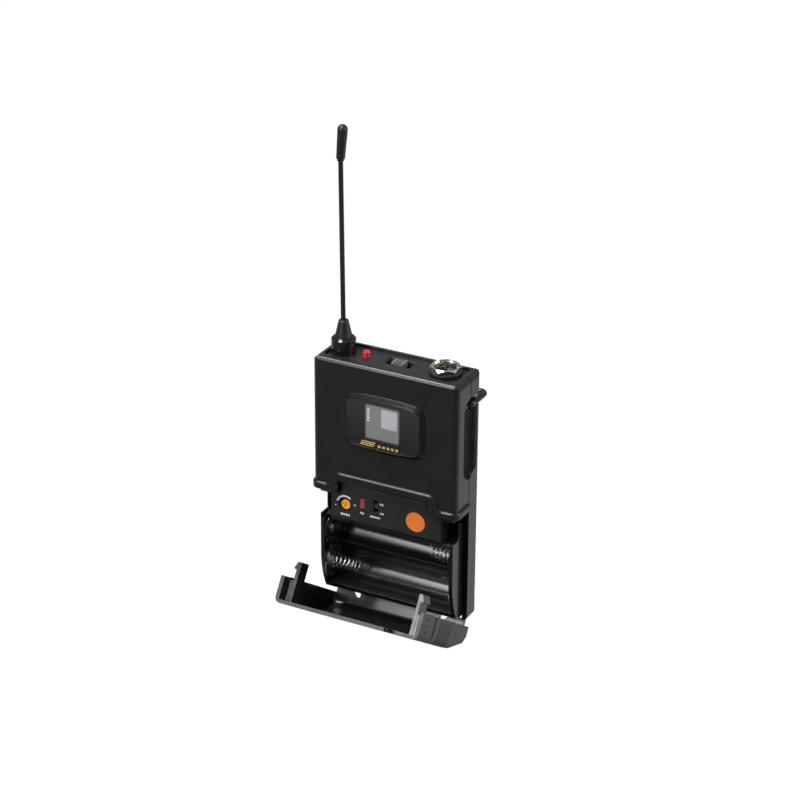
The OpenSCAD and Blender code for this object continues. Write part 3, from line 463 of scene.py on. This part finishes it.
def build_lcd_marks():
    """A field and a column of dashes behind the window, both brightened by a painted glow."""
    lcd_box = Box("lcd_glass")
    glass = front_of(lcd_box)
    field = soft_box(lcd_box.left + 7.0, lcd_box.bottom + 5.6,
                     lcd_box.right - 0.4, lcd_box.top - 0.3, 0.2)
    inlay("lcd_field", glass, [field], FILM, lcd_painted_bright)
    pitch = 1.25
    dashes = [soft_box(lcd_box.left + 0.7, lcd_box.top - 1.6 - pitch * i,
                       lcd_box.left + 1.7, lcd_box.top - 1.0 - pitch * i, 0.1)
              for i in range(5)]
    inlay("lcd_scale", glass, dashes, FILM, lcd_mark_painted_glow)


def build_window_stripes():
    """Three leaning stripes and a row of bars on the lower edge of the window."""
    pane = Box("display_window")
    base = pane.bottom + 0.9
    lean, pitch, thick = 0.35, 0.78, 0.46
    stripes = [soft_box(-10.0 + lean * i, base + pitch * i,
                        -3.8 + lean * i, base + thick + pitch * i, 0.1)
               for i in range(3)]
    stripes += bars(-1.9, base + 0.1, [1.2] * 5, 1.1, 0.75)
    inlay("window_stripes", front_of(pane), stripes, PRINT, print_gold)


def build_panel_marks():
    """The gain scale with its end marks, and rows of bars in place of lettering."""
    pot, ir, knob = (Box(name).middle for name in ("gain_rotor", "ir_window", "level_slider"))
    marks = [arc_band(pot.x, pot.z, 3.9, 0.75, 55, 165),
             soft_box(pot.x - 5.0, pot.z - 1.2, pot.x - 4.2, pot.z - 0.8, 0.1),
             soft_box(pot.x + 3.9, pot.z + 0.6, pot.x + 4.8, pot.z + 1.0, 0.1)]
    # Control, start beside its middle, number of bars, and their width, height and gap
    rows = ((pot, -2.2, -4.9, 4, 0.8, 0.9, 0.3),
            (ir, -0.9, -4.7, 2, 0.7, 0.9, 0.3),
            (knob, -2.6, -5.5, 5, 0.7, 0.8, 0.25),
            (knob, 1.7, 0.9, 2, 0.7, 0.8, 0.25),
            (knob, 1.9, -3.2, 2, 0.7, 0.8, 0.25))
    for middle, dx, dz, count, width, height, gap in rows:
        marks += bars(middle.x + dx, middle.z + dz, [width] * count, height, gap)
    inlay("panel_marks", front_of(Box("control_panel")), marks, PRINT, print_white)


def build_panel_ridge():
    """Raised line along the top of the control panel, turning down at both ends."""
    panel = Box("control_panel")
    top, bend, thick = panel.top, 1.05, 0.35
    ridge = [soft_box(-19.2, top - 1.6, 17.6, top - 1.25, 0.15),
             soft_box(-19.9, top - 5.6, -19.55, top - 2.2, 0.15),
             arc_band(-18.65, top - 2.45, bend, thick, 90, 180),
             arc_band(17.6, top - 2.45, bend, thick, 0, 90),
             soft_box(18.45, top - 7.4, 18.8, top - 2.45, 0.15)]
    inlay("panel_ridge", front_of(panel), ridge, RIDGE, shell)


def build_top_marks():
    """A dark bar beside each end of the power slider."""
    slider = Box("power_slider")
    middle, half = (slider.front + slider.back) / 2, 1.1
    marks = [soft_box(left, middle - half, right, middle + half, 0.3)
             for left, right in ((-7.6, -6.7), (7.9, 8.8))]
    top = Face((0.0, 0.0, Box("top_panel").top), RIGHT, BACK, UP)
    inlay("switch_end_marks", top, marks, PRINT, print_dark)


def build_jack_ribs():
    """Thin upright ribs on the wall of the socket's mouth."""
    mouth = Box("mic_jack_shell")
    face = Face((mouth.middle.x, mouth.middle.y, 0.0), RIGHT, BACK, UP)
    ring_radius, rib_radius, count, sides = 4.63, 0.2, 24, 6
    centres = round_points(0.0, 0.0, ring_radius, [360 / count * i for i in range(count)])
    ribs = [round_points(x, y, rib_radius, [360 / sides * k for k in range(sides)])
            for x, y in centres]
    inlay("jack_ribs", face, ribs, (mouth.top - 3.7, mouth.top - 0.25), socket_nickel)


def build_rating_plate():
    """Plate on the back with rows of bars and one square in place of its print."""
    back = Face((0.0, 20.3, 24.0), -RIGHT, UP, BACK)
    half_width, half_height = 16.6, 10.6
    plate = soft_box(-half_width, -half_height, half_width, half_height, 1.2)
    inlay("rating_plate", back, [plate], PLATE, foil)
    rows = []
    row_widths = ((9, 5), (14,), (6, 6, 4), (11, 3), (4, 4, 4, 4))
    for i, widths in enumerate(row_widths):
        rows += bars(-14.0, 6.2 - 3.4 * i, widths, 0.9, 1.1)
    rows.append(soft_box(9.0, -8.6, 14.4, -3.2, 0.6))
    inlay("rating_rows", back, rows, PLATE_PRINT, print_dark)


build_lcd_marks()
build_window_stripes()
build_panel_marks()
build_panel_ridge()
build_top_marks()
build_jack_ribs()
build_rating_plate()


# ---------- stage ----------

# The floor lies well below the fully opened door, which reaches about 16 mm below the case
FLOOR_DROP = 60.0 * MM
FLOOR_Z = HINGE.z - FLOOR_DROP
WHITE = (1.0, 1.0, 1.0, 1.0)


def build_stage():
    """Pale floor that the camera sees as plain white and the object sees darker in front."""
    mesh = bpy.data.meshes.new("floor")
    bm = bmesh.new()
    bmesh.ops.create_grid(bm, x_segments=8, y_segments=8, size=4.0)
    bm.to_mesh(mesh)
    bm.free()
    floor = bpy.data.objects.new("floor", mesh)
    floor.location.z = FLOOR_Z
    bpy.context.scene.collection.objects.link(floor)
    paper = Look("paper_white", (0.9, 0.9, 0.9), 0.9, 0.1)
    depth = paper.remap(paper.axes(paper.coord)["Y"], 0.0, 1.0, -0.14, 0.1)
    wave = paper.remap(paper.noise(3.0), 0.0, 0.04)
    dark, pale = (0.1, 0.1, 0.1), (0.48, 0.48, 0.48)
    paper.drive("Base Color", paper.mix_color(paper.math("SUBTRACT", depth, wave), dark, pale))
    glow = paper.add("ShaderNodeEmission")
    glow.inputs["Color"].default_value = WHITE
    glow.inputs["Strength"].default_value = 1.04
    path = paper.add("ShaderNodeLightPath")
    glow_share = paper.math("MULTIPLY", path.outputs["Is Camera Ray"], 0.95)
    paper.show_mix(glow_share, paper.bsdf.outputs[0], glow.outputs[0])
    mesh.materials.append(paper.mat)


def build_world():
    """White for the camera; a dim room, brighter above and behind, for everything else."""
    world = bpy.data.worlds.new("studio")
    bpy.context.scene.world = world
    world.use_nodes = True
    nodes = Nodes(world.node_tree)
    way = nodes.axes(nodes.add("ShaderNodeTexCoord").outputs["Generated"])
    room = nodes.math("ADD", nodes.remap(way["Z"], 0.05, 0.35, 0.0, 0.9),
                      nodes.remap(way["Y"], 0.0, 0.18, 0.2, 0.9))
    path = nodes.add("ShaderNodeLightPath").outputs
    seen = nodes.mix_value(path["Is Glossy Ray"], 0.45, room)
    seen = nodes.mix_value(path["Is Camera Ray"], seen, 1.0)
    background = nodes.tree.nodes["Background"]
    background.inputs["Color"].default_value = WHITE
    nodes.link(seen, background.inputs["Strength"])


# Name, place and size in metres, and power in watts
LIGHTS = (
    ("key_top", (-0.25, -0.25, 0.9), (0.5, 0.3), 10.0),
    ("right_soft", (0.8, 0.25, 0.4), (0.5, 0.5), 4.0),
    ("front_streak", (-0.3, -0.75, 0.45), (0.12, 0.5), 3.5),
)
LIGHT_TARGET = Vector((0.0, 0.01, 0.06))


def build_light():
    bpy.context.scene.view_settings.view_transform = "Standard"
    build_world()
    for name, place, size, power in LIGHTS:
        light = bpy.data.lights.new(name, "AREA")
        light.shape = "RECTANGLE"
        light.size, light.size_y = size
        light.energy = power
        obj = bpy.data.objects.new(name, light)
        obj.location = place
        obj.rotation_mode = "QUATERNION"
        obj.rotation_quaternion = (LIGHT_TARGET - Vector(place)).to_track_quat("-Z", "Y")
        bpy.context.scene.collection.objects.link(obj)


# Camera fitted to the reference view: angles in degrees, and lens and sensor in millimetres
AZIMUTH, ELEVATION, ROLL = 27.43, 25.44, 0.395
CAMERA_TARGET = Vector((1.723, 10.31, 93.59)) * MM
CAMERA_DISTANCE = 1018.97 * MM
LENS = 115.08
SENSOR = 36.0


def build_camera():
    az, el, roll = (math.radians(v) for v in (AZIMUTH, ELEVATION, ROLL))
    back = Vector((math.sin(az) * math.cos(el), -math.cos(az) * math.cos(el), math.sin(el)))
    right = Vector((math.cos(az), math.sin(az), 0.0))
    up = back.cross(right)
    right, up = (right * math.cos(roll) + up * math.sin(roll),
                 up * math.cos(roll) - right * math.sin(roll))
    data = bpy.data.cameras.new("camera")
    data.lens = LENS
    data.sensor_width = SENSOR
    data.clip_start, data.clip_end = 0.05, 20.0
    camera = bpy.data.objects.new("camera", data)
    place = CAMERA_TARGET + back * CAMERA_DISTANCE
    camera.matrix_world = Matrix((
        (right.x, up.x, back.x, place.x),
        (right.y, up.y, back.y, place.y),
        (right.z, up.z, back.z, place.z),
        (0.0, 0.0, 0.0, 1.0)))
    bpy.context.scene.collection.objects.link(camera)
    bpy.context.scene.camera = camera


build_stage()
build_light()
build_camera()
